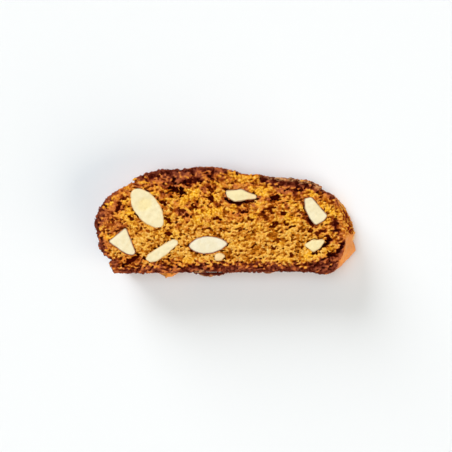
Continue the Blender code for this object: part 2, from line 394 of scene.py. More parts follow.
# %% Hollows in the upper cut face
HOLLOWS = (
    (32.8, 35.3, 36.8, 33.9, 1.25, 4.4),
    (13.6, 31.4, 12.4, 30.6, 0.8, 1.5),
    (11, 29.2, 9.6, 25.8, 0.7, 1.7),
    (12.6, 3.4, 18.3, 6.8, 0.9, 2.6),
    (20.9, 6.4, 21.2, 5.9, 0.8, 2.4),
    (30.4, 16.3, 31.8, 15.9, 0.8, 2.2),
    (15, 23.2, 15.8, 22.8, 0.7, 2),
    (17.6, 24.8, 18.9, 23.8, 0.7, 2),
    (28.6, 29.6, 29.6, 29.2, 0.8, 2.4),
    (29.8, 22.8, 31.4, 21.2, 0.9, 2.2),
    (36.4, 26.4, 37.4, 25.4, 0.8, 1.3),
    (38.2, 24.4, 39, 24, 0.8, 1.5),
    (41.5, 28.2, 42.4, 27, 0.7, 2.2),
    (48.2, 31.4, 49.6, 31, 0.8, 2.8),
    (48.4, 35.4, 49.4, 34.2, 0.9, 1.8),
    (48.2, 18.6, 49.6, 18.3, 0.6, 1.8),
    (50.6, 22.8, 52.8, 22, 0.7, 2),
    (75, 31.2, 76.8, 31.5, 1.1, 4.2),
    (73.2, 27.4, 74.4, 26, 0.8, 1.8),
    (70.6, 24.6, 72.6, 23, 0.8, 1.5),
    (62.2, 25.2, 64.4, 25.6, 0.7, 2.2),
    (65, 22.3, 66.6, 22, 0.6, 1.6),
    (74.6, 19.4, 76.8, 20.6, 0.7, 2.2),
    (79, 25.2, 80.2, 25, 0.8, 2.4),
    (80, 21, 81.2, 20, 0.7, 2),
    (82.4, 18.9, 84, 19.5, 0.6, 2),
    (60.6, 18.4, 61.4, 17.8, 0.7, 1.6),
    (66.5, 17.2, 67.2, 16.8, 0.6, 1.6),
    (75.6, 13.3, 77.2, 13.7, 0.7, 1.6),
    (74.8, 10.4, 75.6, 9.9, 0.7, 1.8),
    (73.4, 15.9, 75.4, 15.2, 0.6, 1.3),
    (90.3, 17.3, 91.5, 17.3, 0.6, 2),
    (87, 18.4, 88, 17.8, 0.8, 1.4),
    (94.2, 16.6, 96.8, 17.2, 0.9, 1.4),
    (82.6, 7.8, 83.2, 6.8, 0.7, 1.8),
    (56.5, 6.7, 57.2, 6.3, 0.7, 1.6),
    (101.1, 22.4, 101.9, 17.8, 0.7, 1.5),
    (98.2, 15.2, 99.4, 13.8, 0.8, 1.6),
    (92.6, 8.6, 98.2, 12.8, 0.9, 2.8),
    (102.4, 8.4, 104.8, 12.6, 0.8, 1.6),
    (98.8, 7.1, 101.2, 7.4, 0.8, 2.2),
    (88.2, 28, 89.4, 23, 0.5, 1.6),
    (89.4, 23, 92, 20, 0.7, 1.8),
    (54.8, 31.4, 57, 29.9, 0.55, 1.6),
    (57, 29.8, 61.4, 29.2, 0.75, 1.7),
    (61.4, 29.2, 66, 30, 0.65, 1.5),
    (66, 30, 69, 31.3, 0.45, 1.2),
)

HOLLOW_WOBBLE = 1.5  # how ragged the hollows are

face_wobble = 0.28 * sponge[:, :, TOP_LAYER] + 0.12 * grain[:, :, TOP_LAYER]
hollow_depth = strokes(HOLLOWS, HOLLOW_WOBBLE * face_wobble)
print(len(HOLLOWS), f"hollows, deepest {hollow_depth.max():.1f} mm")

# %% [markdown]
# ## Browning
# The oven colours a slice from outside in, and unevenly: dark where the loaf touched the tray and
# along the top, orange where the crust split, and gold inside. One number says it all, from 0 for
# gold over 0.35 for amber and 0.7 for red brown to 1 for nearly burnt. It is drawn with
# strokes too, because the darkest places belong to this slice alone.

# %% Toasted places
TOASTED = (
    (0.3, 20, 0.8, 13, 2.6, 1.05),
    (0.9, 17, 3.2, 9.5, 1.8, 1.1),
    (0, 20, 2.6, 28.8, 2.8, 1.02),
    (2.6, 28.8, 8.4, 34.3, 2.2, 0.92),
    (2.6, 9.5, 7.2, 4.8, 1.6, 0.82),
    (8.4, 4.6, 9.4, 0.8, 1.9, 0.8),
    (9, 0, 19, 0.4, 3, 0.86),
    (19, 0.4, 27, 0.6, 3.2, 0.82),
    (26, 0.6, 42, 0.6, 3.4, 0.9),
    (40, 0.7, 62, 0.6, 3.5, 1.02),
    (62, 0.6, 92, 0.6, 3.6, 1.06),
    (92.5, 1.4, 100, 1.8, 3.6, 1.16),
    (95.5, 4.8, 101.6, 6.4, 1.9, 0.85),
    (101.5, 4, 104.3, 10, 1.2, 0.8),
    (102.4, 8.5, 105, 12.7, 1.3, 1.05),
    (92.4, 8.6, 98.4, 12.8, 1.1, 0.9),
    (101, 22.6, 102, 17.2, 1.4, 0.9),
    (98, 15.4, 99.6, 13.6, 1.2, 0.75),
    (94, 16.4, 97.2, 17.4, 1.4, 0.6),
    (19.4, 40.2, 24, 42.6, 2, 1),
    (23, 42.2, 31, 42.6, 3.1, 1.16),
    (31, 42.4, 42, 43.4, 3.6, 1.06),
    (42, 43.6, 55, 43.9, 3.2, 0.98),
    (24, 38.8, 34, 38, 1.8, 0.68),
    (33, 38.6, 44, 39.4, 2.2, 0.9),
    (29, 36.6, 38, 36.2, 1.3, 0.66),
    (43, 39.4, 54, 39.6, 1.6, 0.55),
    (71.6, 39.8, 76.8, 39.2, 2.8, 1.16),
    (76.5, 38.8, 87, 37.2, 3.2, 1),
    (78, 35, 85, 34, 1.8, 0.72),
    (86, 37.6, 95, 35.4, 2.2, 0.92),
    (95, 35.4, 100, 32.4, 1.9, 0.82),
    (100, 32.4, 105.4, 27.2, 1.7, 0.78),
    (58, 40, 70, 39, 3.4, 0.3),
    (70, 35, 79, 34, 1.8, 0.42),
    (64, 34.8, 67, 34.4, 1.3, 0.62),
    (10, 34, 20, 38, 2, 0.42),
    (22, 34.5, 30, 35, 1.8, 0.35),
    (35.8, 26.6, 40, 23.4, 2, 0.62),
    (4, 22, 10, 29, 3.8, 0.58),
    (4, 12, 10, 20, 3.8, 0.52),
    (9, 4, 20, 5, 2.4, 0.45),
    (28, 4.6, 40, 4.2, 1.8, 0.36),
    (68, 23, 75, 27, 2.6, 0.36),
    (88, 24, 92.5, 20, 1.4, 0.6),
    (101, 24, 104, 14, 2.6, 0.48),
    (54.4, 32, 57, 29.6, 0.9, 1),
    (57, 29.6, 61.4, 29, 1, 1.05),
    (61.4, 29, 69.4, 31.6, 0.8, 0.95),
    (28.2, -1.2, 31, -1.4, 1.8, 0.42),
    (43.6, -1.2, 56.5, -1.2, 1.7, 1.2),
)
print(len(TOASTED), "toasted strokes")

# %% Golden places, and sheen and pale ones
GOLDEN = (
    (37, 29.5, 42, 33.6, 1.6, 1),
    (41, 32.5, 47, 30, 1.1, 0.6),
    (48, 26, 53, 26.4, 1.2, 1),
    (48.6, 20.7, 51, 20.7, 0.9, 0.8),
    (51, 31.8, 53.5, 32, 0.9, 0.8),
    (5.4, 14.6, 8.6, 15, 1, 0.9),
    (12, 24, 17, 20.5, 1.2, 0.6),
    (37.4, 4.8, 41, 5.2, 1.2, 0.7),
    (96.6, 28, 101.4, 24.4, 1.9, 0.9),
    (88.6, 6.4, 92.6, 8, 1.6, 0.9),
    (76.4, 12.3, 78.8, 12.3, 0.9, 0.7),
    (97.6, 9, 99.8, 10.6, 0.8, 0.9),
    (66.6, 34.9, 69, 34.6, 1, 0.9),
    (58, 12, 64, 12.6, 1.4, 0.4),
    (76, 6, 82, 5, 1.3, 0.5),
    (58, 41.2, 61, 40.8, 1.4, 0.8),
    (61, 40, 68, 39.4, 1.6, 0.55),
)

# Painted sheen along the top rim, and pale crumb by the flakes of the base.
SHEEN_AND_PALE = (
    (72.4, 40.4, 77, 39.5, 0.8, 0.8),
    (77, 39.5, 87, 38.6, 1, 0.85),
    (87, 38.6, 92, 37.2, 0.9, 0.8),
    (92, 37.2, 96, 35, 0.8, 0.7),
    (102, 31.8, 107.2, 25.6, 0.7, 0.55),
    (44, 45, 57, 44.6, 0.6, 0.5),
    (41.6, -0.2, 46, 0.6, 0.7, 0.8),
    (55, -0.8, 57.4, -1, 0.8, 0.7),
    (31.4, -0.6, 34, -0.8, 0.9, 0.5),
)
print(len(GOLDEN), "golden strokes and", len(SHEEN_AND_PALE), "dull ones")

# %% The maps of browning and gold
UPPER_HALF = (8.0, 26.0)  # from the base line: wild gold begins here and is full there
TOP_THIRD = (16.0, 34.0)  # and so does the richer colour of the top
NOT_TOASTED = (0.3, 0.6)  # browning that wears the wild gold away

patches_here, mottle_here = patches[:, :, TOP_LAYER], mottle[:, :, TOP_LAYER]
upwards = ramp(along_y - BASE_LINE, *UPPER_HALF)[None, :]
toast_map = strokes(TOASTED, face_wobble, (0.5, 1.3))


def in_upper_crumb(amount):
    """An amount that fades towards the base and where the crumb is toasted."""
    return amount * upwards * (1 - ramp(toast_map, *NOT_TOASTED))


wild_gold = in_upper_crumb(0.9 * ramp(patches_here, 0.4, 1.5))
small_gold = in_upper_crumb(0.6 * ramp(-mottle_here, 0.4, 1.6))
gold_map = strokes(GOLDEN, 1.6 * face_wobble, (0.3, 1.4))
gold_map = np.maximum(gold_map, np.maximum(wild_gold, small_gold))
richer = 0.05 + 0.25 * ramp(along_y - BASE_LINE, *TOP_THIRD)[None, :]
richer = np.maximum(richer + 0.15 * mottle_here * upwards, 0)
richer = richer + 0.16 * ramp(-patches_here, 0.2, 1.6) * upwards
toast_map = np.maximum(toast_map, richer) * (1 - 0.7 * gold_map)
sheen_and_pale_map = strokes(SHEEN_AND_PALE, 1.2 * face_wobble, (0.4, 1.2))
print(f"toasted over 0.5: {(toast_map > 0.5).mean():.0%} of the block")

# %% [markdown]
# ## Opening the crumb
# Torn crumb is open: its low places lie up to two millimetres back. Thousands of pores are too
# many to sculpt one by one, and a bump would leave the rim of the slice smooth. So the random
# lumps are pressed into the field. The golden places stay nearly closed, and the toasted top
# breaks into coarser lumps.

# %% How far the crumb lies back
LUMPY_TOP = (20.0, 30.0)  # from the base line: where toasted crumb turns lumpy
OPEN_REACH = 0.42  # recess for each step of the sponge below its high places
DEEP_BELOW, DEEP_REACH = 0.75, 1.1  # a place this low becomes a deep pore, and sinks this fast
CLOSED_REACH = 0.24  # recess in the golden places

up_loaf, from_end = Y - BASE_LINE, from_left(X)


def recess_of_crumb(gold, toast):
    """How far the surface lies back in each cell of the open crumb."""
    lumpy = toast * ramp(up_loaf, *LUMPY_TOP)
    fine_share, coarse_share = 1 - 0.45 * lumpy, 0.30 + 0.50 * lumpy
    mixed = fine_share * sponge + coarse_share * coarse
    mixed = mixed / np.sqrt(fine_share**2 + coarse_share**2)
    open_crumb = OPEN_REACH * (1.0 - mixed) + DEEP_REACH * np.maximum(-mixed - DEEP_BELOW, 0)
    open_crumb = open_crumb - 0.15 * grain + 0.18 * swell
    closed = CLOSED_REACH * (1.0 - mixed) - 0.12 * grain
    return np.maximum(open_crumb + gold * (closed - open_crumb), 0.0)


MARKED_HEIGHTS = (6.0, 10.0)  # the drawn marks fade in between these heights
CALM_LEFT = (15.0, 24.0)  # left of these, the crumb is less deep

upper = ramp(Z, *MARKED_HEIGHTS)
recess = recess_of_crumb(gold_map[:, :, None] * upper, np.minimum(toast_map, 1)[:, :, None] * upper)
recess = recess * (0.80 + 0.20 * ramp(from_end, *CALM_LEFT))
print(f"mean recess of the crumb: {recess.mean():.2f} mm")

# %% [markdown]
# ## The skin along the wall
# The baked skin is denser than the crumb and only lightly lumped. At the slanted right end it is
# nearly even below and torn open above, and the left end is calm. The lumps are added to the
# solid's own wall instead of modelling a new one, so the slice keeps its true outline.

# %% Lumps and tears of the skin
RIGHT_WALL = (100.0, 104.0)  # from the left end: where the slanted wall begins
TORN_FROM, TORN_TO = (14.5, 18.0), (27.0, 30.0)  # from the base line: its torn part
EVEN_BELOW = (14.0, 18.0)  # and its even part
LEFT_WALL, LEFT_STEP = (9.0, 15.0), (11.0, 15.0)  # the calm left end, above its step
SKIN_SWELL = 0.08  # how far the skin stands out from the solid
TEAR_BELOW, TEAR_REACH = 0.8, 0.42  # the sponge's low places tear the wall this fast
SPIKE_OVER, SPIKE_REACH = 1.2, 0.18  # and the grain's high places stand out

right_wall = ramp(from_end, *RIGHT_WALL)
torn_wall = right_wall * ramp(up_loaf, *TORN_FROM) * (1 - ramp(up_loaf, *TORN_TO))
even_wall = right_wall * (1 - ramp(up_loaf, *EVEN_BELOW))
calm_wall = (1 - ramp(from_end, *LEFT_WALL)) * ramp(up_loaf, *LEFT_STEP)
skin_lumps = 0.14 * lumps(14, 2.4) + 0.09 * grain + 0.10 * lumps(16, 6.0)
skin_recess = -SKIN_SWELL - (1 - 0.75 * even_wall) * skin_lumps
skin_recess = -SKIN_SWELL + (1 - 0.65 * calm_wall) * (skin_recess + SKIN_SWELL)
skin_recess = skin_recess + torn_wall * TEAR_REACH * np.maximum(TEAR_BELOW - sponge, 0)
skin_recess = skin_recess - SPIKE_REACH * np.maximum(grain - SPIKE_OVER, 0) * (1 - even_wall)
print(f"spread of the skin's lumps: {skin_recess.std():.2f} mm")

# %% Cut the sponge, the hollows and the flake's gap
BY_NUTS = (0.2, 1.2)  # this near to an almond, the crumb is tighter
RIM_SLOPE = 0.66  # near the skin, a pore is no deeper than this share of its distance to it
CUT_BAND = (0.4, 2.4)  # the strip of wall below a cut, which breaks more easily
FLAKE_GAP = ((47.0, -0.16, 53.4, -0.16, 0.30, 1.0),)  # a stroke between the peeled flake and the base

near_cut = (1 - even_wall) * (1 - ramp(np.minimum(THICKNESS - Z, Z), *CUT_BAND))
inside_share = ramp(skin_depth + 0.35 * near_cut, 0.0, 0.6)
tight = 0.25 + 0.75 * ramp(nut_field, *BY_NUTS)
uneven_depth = skin_depth + 0.4 * grain * ramp(skin_depth, 0.2, 1.0)
at_edge = RIM_SLOPE * np.maximum(uneven_depth, 0) + 0.12 * near_cut
field = dough + inside_share * np.minimum(recess * tight, at_edge) + (1 - inside_share) * skin_recess
field = np.maximum(field, Z - THICKNESS + hollow_depth[:, :, None])
gap = strokes(FLAKE_GAP, 0.0, (0.5, 1.5))[:, :, None]
field = np.maximum(field, (gap - 0.5) * 1.2 + 0 * Z)
print("crumb with its pores:", volume(field))

# %% Room for the almonds
NUT_OVERLAP = 0.25  # the crumb reaches this far under an almond's edge
NUT_TUCK = 0.36  # and lies this far lower there
NUT_SINK = 0.7  # near a cut, an almond's room is taken from this far below it

under_nuts = NUT_TUCK * (1 - ramp(full_nut_field, -0.1, 0.15))
field = np.maximum(field, np.maximum(Z - THICKNESS, -Z) + under_nuts)
layers = np.clip(along_z, NUT_SINK, THICKNESS - NUT_SINK)
layers = np.round((layers - along_z[0]) / CELL).astype(int)
field = np.maximum(field, -nut_field[:, :, layers] - NUT_OVERLAP)
print("and with room for the almonds:", volume(field))

# %% [markdown]
# ## Crumbs that stick to the rim
# Sawing a dry slice leaves crumbs on its edge. They could be pieces of their own, but baked
# crumbs hang on, so small lumpy balls are merged into the same field. The largest, by the flakes
# of the base, are listed one by one and the rest set at random.

# %% Stick the crumbs on
STUCK_COUNT = 70  # crumbs set at random
STUCK_LAYER = 6  # cells below the cut, where the edge is looked for
STUCK_DEPTHS, STUCK_RADII = (0.6, 5.0), (0.25, 0.55)
# They are set right of the first place or below the second, and left of the third.
RIM_FROM, RIM_BELOW, RIM_TO = 14.0, 12.0, 100.0

STUCK = [
    (17.6, -0.1, 14.6, 0.45),  # place, height and radius
    (20.4, -0.3, 14.2, 0.55),
    (42.8, 0, 14.9, 0.75),
    (44.4, -0.1, 14.6, 0.6),
    (55.6, -0.3, 14.4, 0.65),
    (56.8, -0.2, 14.8, 0.5),
    (32.6, -0.6, 12.6, 0.7),
    (30.2, -1.6, 9.6, 0.8),
]
edge_layer = dough[:, :, TOP_LAYER - STUCK_LAYER]
rim_x, rim_y = from_left(along_x)[:, None], along_y[None, :] - BASE_LINE
clear_rim = ((rim_x > RIM_FROM) | (rim_y < RIM_BELOW)) & (rim_x < RIM_TO)
edge_cells = np.argwhere((np.abs(edge_layer) < CELL / 2) & clear_rim)
picker = np.random.default_rng(31)
for cell in picker.choice(edge_cells, STUCK_COUNT, replace=False):
    height, radius = THICKNESS - picker.uniform(*STUCK_DEPTHS), picker.uniform(*STUCK_RADII)
    STUCK.append((from_left(along_x[cell[0]]), along_y[cell[1]] - BASE_LINE, height, radius))
for x, y, height, radius in STUCK:
    middle = (*place(x, y), height)
    low_cell = [max(int((m - radius - b) / CELL) - 2, 0) for m, b in zip(middle, block_low)]
    high_cell = [int((m + radius - b) / CELL) + 3 for m, b in zip(middle, block_low)]
    part = tuple(slice(a, b) for a, b in zip(low_cell, high_cell))
    dx, dy, dz = (axis[part[i]] - middle[i] for i, axis in enumerate((along_x, along_y, along_z)))
    ball = np.sqrt(dx[:, None, None] ** 2 + dy[None, :, None] ** 2 + dz[None, None, :] ** 2) - radius
    field[part] = np.minimum(field[part], ball + 0.12 * coarse[part] + 0.1 * grain[part])
print(len(STUCK), "crumbs on the rim")

# %% [markdown]
# ## One piece with no sealed bubbles
# Cutting at random leaves loose grains in the air and bubbles closed in the dough, which nobody
# can see and which a printed part can't have. Two floods find them: one spreads through the dough
# from its middle, one through the air from outside. What neither reaches is swapped.

# %% Keep one piece, with no sealed bubbles
def grow(seed, room):
    """Spreads a marked region through all the room that it can reach."""
    while True:
        wider = seed.copy()
        for axis in range(3):
            front, back = [slice(None)] * 3, [slice(None)] * 3
            front[axis], back[axis] = slice(1, None), slice(None, -1)
            front, back = tuple(front), tuple(back)
            wider[front] |= wider[back] & room[front]
            wider[back] |= wider[front] & room[back]
        wider &= room
        if (wider == seed).all():
            return seed
        seed = wider


CORE_DEPTH = 4.0  # deep in the dough, where the flood starts

inside = field < 0
core = grow(inside & (dough < -CORE_DEPTH), inside)
air = grow(~inside & (dough > 0), ~inside)
loose, sealed = inside & ~core, ~inside & ~air
field = np.where(loose, CELL / 2, np.where(sealed, -CELL / 2, field)).astype(np.float32)
print("loose cells:", int(loose.sum()), "sealed cells:", int(sealed.sum()))

# %% [markdown]
# ## Drawing the surface
# The surface is drawn through the places where the field is zero. That gives an even net of
# squares, far more than a reusable part should have, so it is thinned. The upper cut face is
# thinned least, because it is what people look at.

# %% Draw the surface
MOST_FACES = 195000
FINE_DEPTH = 4.0  # below the upper cut, where the most faces are kept
PLAIN_FACTOR = 0.005  # how much more the rest is thinned


def mesh_from_field(name, values, low, cell):
    """An object whose surface is where the field is zero."""
    grid = vdb.FloatGrid()
    grid.background = float(values.max())
    grid.copyFromArray(values)
    corners, faces = grid.convertToQuads(isovalue=0.0)
    mesh = bpy.data.meshes.new(name)
    mesh.vertices.add(len(corners))
    mesh.vertices.foreach_set("co", ((corners * cell + low) * MM).astype(np.float32).ravel())
    mesh.loops.add(faces.size)
    mesh.loops.foreach_set("vertex_index", faces[:, ::-1].astype(np.int32).ravel())
    mesh.polygons.add(len(faces))
    mesh.polygons.foreach_set("loop_start", np.arange(0, faces.size, 4, dtype=np.int32))
    mesh.update()
    mesh.validate()
    obj = bpy.data.objects.new(name, mesh)
    bpy.context.scene.collection.objects.link(obj)
    return obj


def thin(obj, most):
    """Drops faces down to this many triangles, and more of them away from the upper cut."""
    triangles = 2 * len(obj.data.polygons)
    if triangles > most:
        plain = obj.vertex_groups.new(name="plain")
        upper = corners_and_faces(obj.data)[0][:, 2] > THICKNESS - FINE_DEPTH
        for chosen, share in ((upper, 0.5), (~upper, 1.0)):
            plain.add(np.flatnonzero(chosen).tolist(), share, "REPLACE")
        modifier = obj.modifiers.new("thin", "DECIMATE")
        modifier.ratio = most / triangles
        modifier.use_collapse_triangulate = True
        modifier.vertex_group = plain.name
        modifier.vertex_group_factor = PLAIN_FACTOR
        depsgraph = bpy.context.evaluated_depsgraph_get()
        mesh = bpy.data.meshes.new_from_object(obj.evaluated_get(depsgraph))
        obj.modifiers.clear()
        obj.data = mesh
    obj.data.shade_smooth()


body = mesh_from_field("crumb_and_crust", field, block_low, CELL)
squares = len(body.data.polygons)
thin(body, MOST_FACES)
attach(body, "root")
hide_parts("biscuit")
upper_share = (corners_and_faces(body.data)[0][:, 2] > THICKNESS - FINE_DEPTH).mean()
print("surface:", squares, "squares, thinned to", len(body.data.polygons), "triangles")
print(f"corners near the upper cut: {upper_share:.0%}")

# %% [markdown]
# ## Masks for the baker's colours and for painted light
# A material can't know where the crust is or how deep a pore goes. A painted picture would need
# unwrapping and would blur in the pores, so those numbers are kept in the mesh, one for each
# corner: the browning, the gold, the depth in a pore, which the colours turn into painted shade,
# how much a corner belongs to the baked skin, and how pale and dull it is, with a painted sheen
# along the top rim.

# %% Where each corner lies
RIGHT_END = (101.0, 104.5)  # from the left end: the slanted wall
LOW_WALL = (1.5, 4.0)  # below a cut: from here the skin reaches deeper


def paint(mesh, name, values):
    """Keeps one number for each corner, for the material to read."""
    mesh.attributes.new(name, "FLOAT", "POINT").data.foreach_set("value", np.asarray(values, np.float32))


spots, _ = corners_and_faces(body.data)
spot_x, spot_y, spot_z = from_left(spots[:, 0]), spots[:, 1] - BASE_LINE, spots[:, 2]
depth_here, coarse_here, sponge_here, swell_here, grain_here = (
    sample(values, spots) for values in (skin_depth, coarse, sponge, swell, grain)
)
below_cut = np.clip(np.minimum(THICKNESS - spot_z, spot_z), 0, None)
right_end = ramp(spot_x, *RIGHT_END)
low_wall = ramp(below_cut, *LOW_WALL) * (1 - right_end)
on_skin = (1 - ramp(depth_here - 0.45 * low_wall, 0.1, 0.5 + 0.4 * low_wall)) * ramp(below_cut, 0.4, 1.1)
torn_here = sample(torn_wall[:, :, 0], spots) * on_skin
print(len(spots), f"corners, {on_skin.mean():.0%} of them on the skin")

# %% Browning of the skin
CUT_EDGE_TOAST = 0.92  # the wall next to a cut
BELLY_FADE = 0.24  # how much less it is browned halfway up
TRAY_TOAST = 0.14  # how much more along the base
EVEN_END_TOAST = 0.36  # the even part of the right end
ROUGH_END = (14.0, 18.0)  # from the base line: where its torn, golden part begins

tray_side = 1 - ramp(spot_y, 1.0, 4.0)
belly = ramp(below_cut + 0.8 * coarse_here, 0.5, 8.0)
skin_toast = CUT_EDGE_TOAST - BELLY_FADE * belly + TRAY_TOAST * tray_side
skin_toast = skin_toast + 0.10 * swell_here - 0.10 * coarse_here
even_end = EVEN_END_TOAST + 0.06 * coarse_here + 0.04 * grain_here
rough_end = 0.08 * coarse_here
end_toast = even_end + ramp(spot_y, *ROUGH_END) * (rough_end - even_end)
skin_toast = skin_toast + right_end * (1 - 0.5 * tray_side) * (end_toast - skin_toast)
print(f"mean browning of the skin: {skin_toast[on_skin > 0.5].mean():.2f}")

# %% Browning of the cut faces
UNDER_SKIN = 0.9  # browning just under the skin, on the underside and in the depth
BY_SKINNED = 0.85  # and beside an almond's brown skin: the skin seen aslant, and painted shade of the gap
DRAWN_HEIGHTS = (4.0, 9.0)  # the drawn marks fade in between these heights

face_toast = sample(toast_map, spots)
uneven = 0.12 + 0.10 * (1 - ramp(spot_y, 3.0, 6.5))
face_toast = face_toast * (1 - uneven * np.clip(coarse_here + 0.6 * sponge_here, -1.5, 2.0))
deep_toast = UNDER_SKIN * (1 - ramp(depth_here, 0.6, 3.0 + 0.8 * coarse_here))
face_toast = deep_toast + ramp(spot_z, *DRAWN_HEIGHTS) * (face_toast - deep_toast)
# Beside a skinned almond the crumb is darkened: its skin seen aslant, and painted shade of the gap.
near_skinned = (1 - ramp(sample(skinned_field, spots), 0.05, 0.45)) * ramp(spot_z, 6.0, 9.0)
face_toast = np.maximum(face_toast, BY_SKINNED * near_skinned)
print(f"mean browning of the cuts: {face_toast[on_skin < 0.5].mean():.2f}")

# %% The peeled flakes of the base
PALE_FLAKE = ((25.0, 27.0), (33.0, 35.0))  # from the left end: where it begins and ends
# The dark flake gets the colours of a pore's bottom: painted shade over its own burnt browning.
DARK_FLAKE = ((40.0, 44.0), (56.0, 60.0))
PALE_FLAKE_TOAST = 0.24


def flake_mask(start, end, low, high):
    """1 on the flake between two places, from this height up."""
    return on_flake * ramp(spot_x, *start) * (1 - ramp(spot_x, *end)) * ramp(spot_z, low, high)


on_flake = ramp(-spot_y, 0.1, 0.5) * ramp(spot_z, 4.0, 8.0)
pale_flake = flake_mask(*PALE_FLAKE, 5.0, 9.0)
# painted shade over burnt browning, on the dark flake
dark_flake = flake_mask(*DARK_FLAKE, 6.0, 9.0)
toast = face_toast + on_skin * (1 - on_flake) * (skin_toast - face_toast)
toast = toast + pale_flake * (PALE_FLAKE_TOAST - toast)
print("corners on flakes:", int((on_flake > 0.5).sum()))

# %% Painted shade in pores and gaps, sheen and pale places
GAP_BELOW, GAP_MOST = 0.8, 3  # the sponge's low places get painted shade as gaps in the skin
RIM_BAND = (1.5, 3.5)  # below a cut: the skin has painted dark gaps down to here

# The pore mask becomes painted shade: darker deeper below the cut, on the dark flake, in the skin's gaps,
# and a little on all the skin.
pore = below_cut * (1 - on_skin) * (1 - on_flake) + dark_flake * (1.05 + 0.3 * coarse_here)
rim_gaps = on_skin * (1 - right_end) * (1 - ramp(below_cut, *RIM_BAND))
gaps = np.clip(GAP_BELOW - sponge_here, 0, GAP_MOST) * np.maximum(0.95 * torn_here, 1.2 * rim_gaps)
dull_end = (0.5 + 0.12 * coarse_here) * right_end * (1 - 0.95 * torn_here)
dull_belly = (0.36 + 0.14 * coarse_here - 0.10 * swell_here) * belly * (1 - right_end)
# painted sheen along the top rim next to the cut, and pale crumb by the base flakes
rim_sheen_and_pale = sample(sheen_and_pale_map, spots) * (1 - ramp(below_cut, 1.0, 2.5))
body_masks = {
    "toast": np.clip(toast, 0, 1.2),
    "gold": sample(gold_map, spots) * ramp(spot_z, *DRAWN_HEIGHTS) * (1 - on_skin),
    "pore": np.maximum(pore, 0.5 * gaps) + 0.15 * on_skin,
    "skin": on_skin,
    "pale": np.maximum(on_skin * np.maximum(dull_end, dull_belly), rim_sheen_and_pale),
}
for name, values in body_masks.items():
    paint(body.data, name, values)
    print(f"mask {name}: mean {values.mean():.2f}")

# %% [markdown]
# ## Almonds
# The knife went through the almonds, so each shows a smooth, flat cut with a slightly rounded
# rim. Stretched balls would have the wrong outlines, so each is made from its own solid, in finer
# cells than the crumb. Blurring the field rounds the edges that the plain solid has, and very low
# lumps keep the cut from being a mirror.

# %% Helpers for the almonds' shapes
LENS = (21.4, 28.3, 3.9, 2.5, 30.0)  # place, half length, half width and turn of a dished place


def blurred(values, width, cell):
    """The field with each cell blended with its neighbours over this width."""
    fx, fy, fz = frequencies(values.shape, cell)
    keep = np.exp(-2 * (math.pi * width) ** 2 * (fx**2 + fy**2 + fz**2))
    return np.fft.irfftn(np.fft.rfftn(values) * keep, values.shape).astype(np.float32)


def smooth_max(a, b, width):
    """The larger of two fields, with the edge between them rounded."""
    return np.maximum(a, b) + np.maximum(width - np.abs(a - b), 0) ** 2 / (4 * width)


def in_lens(x, y):
    """1 in the middle of the dished place of the left almond, 0 outside it."""
    middle_x, middle_y, half_length, half_width, turn = LENS
    c, s = math.cos(math.radians(turn)), math.sin(math.radians(turn))
    away_x, away_y = from_left(x) - middle_x, y - BASE_LINE - middle_y
    along, across = (away_x * c + away_y * s) / half_length, (away_y * c - away_x * s) / half_width
    far = along**2 + np.where(across < 0, 1.0, 0.55) * across**2
    return 1 - ramp(np.sqrt(far), 0.55, 1.1)


print("the dished place is", 2 * LENS[2], "mm long")

# %% Shape the almonds
NUT_CELL = 0.16  # side of a cell
NUT_MARGIN = 1.0  # empty room round an almond
NUT_REACH = 1.5  # the field is cut off beyond this before it is blurred
RIM_ROUND = 0.17  # blur that rounds the corners
OUTLINE_WOBBLE = 0.10
WAVINESS = 0.05
BELOW_CUT = 0.04  # an almond's cut lies this far below the slice's
LENS_DEPTH = 0.20


def nut_lumps(seed, size, count):
    """Random lumps in an almond's finer cells."""
    return lumps(seed, size, count=count, cell=NUT_CELL)


def shaped_nut(name, seed):
    """A finer, softer almond in place of the plain one."""
    low, high = (np.array(corner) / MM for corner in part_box(name))
    low, count = block_round(low, high, NUT_CELL, NUT_MARGIN)
    plain = distance_field(name, low, count, NUT_CELL)
    soft = blurred(np.clip(plain, -NUT_REACH, NUT_REACH), RIM_ROUND, NUT_CELL) - FULLER[name]
    soft = soft + OUTLINE_WOBBLE * nut_lumps(seed + 20, 4.0, count)
    relief = nut_lumps(seed, 3.2, count) + 0.35 * nut_lumps(seed + 50, 0.9, count)
    height = (low[2] + NUT_CELL * np.arange(count[2]))[None, None, :]
    cuts = smooth_max(height - THICKNESS + BELOW_CUT, -height + BELOW_CUT, 0.1) + WAVINESS * relief
    if name == "almond_half_left":
        nut_x, nut_y = (low[i] + NUT_CELL * np.arange(count[i]) for i in range(2))
        cuts = cuts + LENS_DEPTH * in_lens(nut_x[:, None, None], nut_y[None, :, None])
    shape = smooth_max(soft, cuts, 0.5).astype(np.float32)
    nut = mesh_from_field(name.replace("almond", "nut"), shape, low, NUT_CELL)
    nut.data.shade_smooth()
    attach(nut, "root")
    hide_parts(name)
    return nut


nuts = {name: shaped_nut(name, seed) for seed, name in enumerate(NUT_NAMES, 100)}
print("almond faces:", sum(len(nut.data.polygons) for nut in nuts.values()))

# %% Masks on the almonds
RIM_LEAN = 0.8  # a face is an almond's side while the upward share of its normal is below this
PLAIN_IVORY = 0.5  # from 0 for yellow cream to 1 for ivory
IVORY = {
    "almond_half_left": 0.62, "almond_half_middle": 1.0, "almond_wedge_left": 0.74, "almond_sliver": 0.66,
    "almond_skinned_top": 0.45, "almond_wedge_right": 0.74, "almond_chip_right": 0.4,
}
LENS_YELLOW = 0.3  # the dished place is this much yellower
TAN_TIP, TIP_TAN = (62.0, 67.5), 0.7  # the top almond's right tip, and how tan it gets

